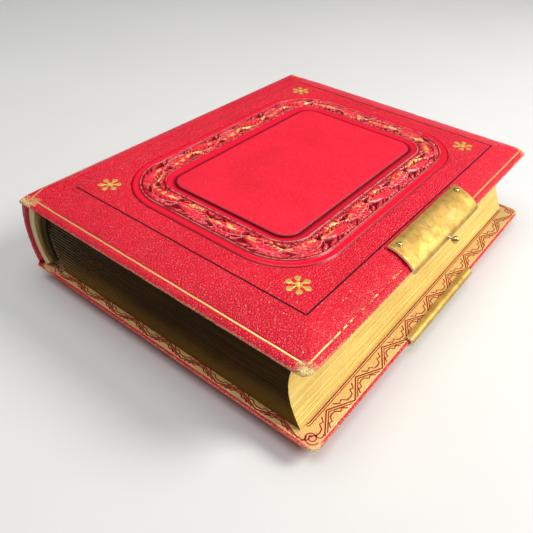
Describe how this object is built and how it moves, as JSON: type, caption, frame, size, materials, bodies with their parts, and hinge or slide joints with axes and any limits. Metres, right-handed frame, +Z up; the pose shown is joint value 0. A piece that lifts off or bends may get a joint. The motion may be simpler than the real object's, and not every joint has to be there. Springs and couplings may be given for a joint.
{
  "type": "stamp album",
  "caption": "Closed leather album with bevelled covers, embossed panel frame, rounded spine, thick gilt-edged card leaves that turn, and a brass fore-edge clasp with a press knob.",
  "frame": {"origin": "on the flat underside of the back panel, straight below the middle of the front panel", "axes": "+X from the spine to the fore-edge, +Y along the spine, +Z up out of the front cover"},
  "size_m": [0.1246, 0.152, 0.0378],
  "materials": {
    "red_leather": "crimson grained leather, worn at corners",
    "relief_leather": "darker glossy moulded leather with gold flecks",
    "panel_leather": "smooth crimson leather",
    "grey_board": "raw pasteboard",
    "end_paper": "cream endpaper",
    "lining_paper": "cream spine lining",
    "guard_gilt": "brown-gold gilt guard ends",
    "gilt_card": "cream card with gilt edges",
    "aged_brass": "aged, softly polished",
    "bright_brass": "worn bright",
    "steel": "dull"
  },
  "bodies": {
    "back_cover": {"back_board": "grey_board", "back_leather": "red_leather", "back_pastedown": "end_paper", "back_relief_frame": "relief_leather", "back_centre_panel": "panel_leather", "back_clasp_plate": "aged_brass", "back_rivet_1": "bright_brass", "back_rivet_2": "bright_brass"},
    "spine": {"spine_leather": "red_leather", "spine_lining": "lining_paper", "headband": "lining_paper", "head_guard_band": "guard_gilt", "tailband": "lining_paper", "tail_guard_band": "guard_gilt"},
    "front_cover": {"front_board": "grey_board", "front_leather": "red_leather", "front_pastedown": "end_paper", "front_relief_frame": "relief_leather", "front_centre_panel": "panel_leather", "front_clasp_plate": "aged_brass", "front_rivet_1": "bright_brass", "front_rivet_2": "bright_brass", "latch_guide": "aged_brass", "latch_spring": "steel"},
    "latch_knob": {"latch_stem": "steel", "latch_ball": "bright_brass"},
    "leaf_01": {"leaf_01": "gilt_card"},
    "leaf_02": {"leaf_02": "gilt_card"},
    "leaf_03": {"leaf_03": "gilt_card"},
    "leaf_04": {"leaf_04": "gilt_card"},
    "leaf_05": {"leaf_05": "gilt_card"},
    "leaf_06": {"leaf_06": "gilt_card"},
    "leaf_07": {"leaf_07": "gilt_card"},
    "leaf_08": {"leaf_08": "gilt_card"},
    "leaf_09": {"leaf_09": "gilt_card"},
    "leaf_10": {"leaf_10": "gilt_card"},
    "leaf_11": {"leaf_11": "gilt_card"},
    "leaf_12": {"leaf_12": "gilt_card"},
    "leaf_13": {"leaf_13": "gilt_card"},
    "leaf_14": {"leaf_14": "gilt_card"},
    "leaf_15": {"leaf_15": "gilt_card"},
    "leaf_16": {"leaf_16": "gilt_card"},
    "leaf_17": {"leaf_17": "gilt_card"},
    "leaf_18": {"leaf_18": "gilt_card"}
  },
  "joints": [
    {"name": "back_joint", "type": "hinge", "parent": "back_cover", "child": "spine", "pos_m": [-0.0574, 0, 0.007], "axis": [0, -1, 0], "range_deg": [0, 90]},
    {"name": "front_joint", "type": "hinge", "parent": "spine", "child": "front_cover", "pos_m": [-0.0584, 0, 0.0314], "axis": [0, -1, 0], "range_deg": [0, 90]},
    {"name": "knob_press", "type": "slide", "parent": "front_cover", "child": "latch_knob", "axis": [-1, 0, 0], "range_m": [0, 0.0007], "stiffness_N_per_m": 400},
    {"name": "leaf_01_fold", "type": "hinge", "parent": "spine", "child": "leaf_01", "pos_m": [-0.0547, 0, 0.00713], "axis": [0, 1, 0], "range_deg": [0, 76.05]},
    {"name": "leaf_02_fold", "type": "hinge", "parent": "spine", "child": "leaf_02", "pos_m": [-0.0547, 0, 0.00849], "axis": [0, 1, 0], "range_deg": [0, 71.25]},
    {"name": "leaf_03_fold", "type": "hinge", "parent": "spine", "child": "leaf_03", "pos_m": [-0.0547, 0, 0.00985], "axis": [0, 1, 0], "range_deg": [0, 66.85]},
    {"name": "leaf_04_fold", "type": "hinge", "parent": "spine", "child": "leaf_04", "pos_m": [-0.0547, 0, 0.01121], "axis": [0, 1, 0], "range_deg": [0, 62.85]},
    {"name": "leaf_05_fold", "type": "hinge", "parent": "spine", "child": "leaf_05", "pos_m": [-0.0547, 0, 0.01257], "axis": [0, 1, 0], "range_deg": [0, 59.15]},
    {"name": "leaf_06_fold", "type": "hinge", "parent": "spine", "child": "leaf_06", "pos_m": [-0.0547, 0, 0.01394], "axis": [0, 1, 0], "range_deg": [0, 55.85]},
    {"name": "leaf_07_fold", "type": "hinge", "parent": "spine", "child": "leaf_07", "pos_m": [-0.0547, 0, 0.0153], "axis": [0, 1, 0], "range_deg": [0, 52.85]},
    {"name": "leaf_08_fold", "type": "hinge", "parent": "spine", "child": "leaf_08", "pos_m": [-0.0547, 0, 0.01666], "axis": [0, 1, 0], "range_deg": [0, 50.15]},
    {"name": "leaf_09_fold", "type": "hinge", "parent": "spine", "child": "leaf_09", "pos_m": [-0.0547, 0, 0.01802], "axis": [0, 1, 0], "range_deg": [0, 47.95]},
    {"name": "leaf_10_fold", "type": "hinge", "parent": "spine", "child": "leaf_10", "pos_m": [-0.0547, 0, 0.01938], "axis": [0, -1, 0], "range_deg": [0, 45.55]},
    {"name": "leaf_11_fold", "type": "hinge", "parent": "spine", "child": "leaf_11", "pos_m": [-0.0547, 0, 0.02074], "axis": [0, -1, 0], "range_deg": [0, 47.55]},
    {"name": "leaf_12_fold", "type": "hinge", "parent": "spine", "child": "leaf_12", "pos_m": [-0.0547, 0, 0.0221], "axis": [0, -1, 0], "range_deg": [0, 49.95]},
    {"name": "leaf_13_fold", "type": "hinge", "parent": "spine", "child": "leaf_13", "pos_m": [-0.0547, 0, 0.02346], "axis": [0, -1, 0], "range_deg": [0, 52.75]},
    {"name": "leaf_14_fold", "type": "hinge", "parent": "spine", "child": "leaf_14", "pos_m": [-0.0547, 0, 0.02482], "axis": [0, -1, 0], "range_deg": [0, 56.15]},
    {"name": "leaf_15_fold", "type": "hinge", "parent": "spine", "child": "leaf_15", "pos_m": [-0.0547, 0, 0.02619], "axis": [0, -1, 0], "range_deg": [0, 60.05]},
    {"name": "leaf_16_fold", "type": "hinge", "parent": "spine", "child": "leaf_16", "pos_m": [-0.0547, 0, 0.02755], "axis": [0, -1, 0], "range_deg": [0, 64.75]},
    {"name": "leaf_17_fold", "type": "hinge", "parent": "spine", "child": "leaf_17", "pos_m": [-0.0547, 0, 0.02891], "axis": [0, -1, 0], "range_deg": [0, 70.05]},
    {"name": "leaf_18_fold", "type": "hinge", "parent": "spine", "child": "leaf_18", "pos_m": [-0.0547, 0, 0.03027], "axis": [0, -1, 0], "range_deg": [0, 76.05]}
  ],
  "couplings": [
    {"joint": "leaf_01_fold", "follows": "back_joint", "ratio": 0.84444},
    {"joint": "leaf_02_fold", "follows": "back_joint", "ratio": 0.79111},
    {"joint": "leaf_03_fold", "follows": "back_joint", "ratio": 0.74222},
    {"joint": "leaf_04_fold", "follows": "back_joint", "ratio": 0.69778},
    {"joint": "leaf_05_fold", "follows": "back_joint", "ratio": 0.65667},
    {"joint": "leaf_06_fold", "follows": "back_joint", "ratio": 0.62},
    {"joint": "leaf_07_fold", "follows": "back_joint", "ratio": 0.58667},
    {"joint": "leaf_08_fold", "follows": "back_joint", "ratio": 0.55667},
    {"joint": "leaf_09_fold", "follows": "back_joint", "ratio": 0.53222},
    {"joint": "leaf_10_fold", "follows": "front_joint", "ratio": 0.50556},
    {"joint": "leaf_11_fold", "follows": "front_joint", "ratio": 0.52778},
    {"joint": "leaf_12_fold", "follows": "front_joint", "ratio": 0.55444},
    {"joint": "leaf_13_fold", "follows": "front_joint", "ratio": 0.58556},
    {"joint": "leaf_14_fold", "follows": "front_joint", "ratio": 0.62333},
    {"joint": "leaf_15_fold", "follows": "front_joint", "ratio": 0.66667},
    {"joint": "leaf_16_fold", "follows": "front_joint", "ratio": 0.71889},
    {"joint": "leaf_17_fold", "follows": "front_joint", "ratio": 0.77778},
    {"joint": "leaf_18_fold", "follows": "front_joint", "ratio": 0.84444}
  ]
}
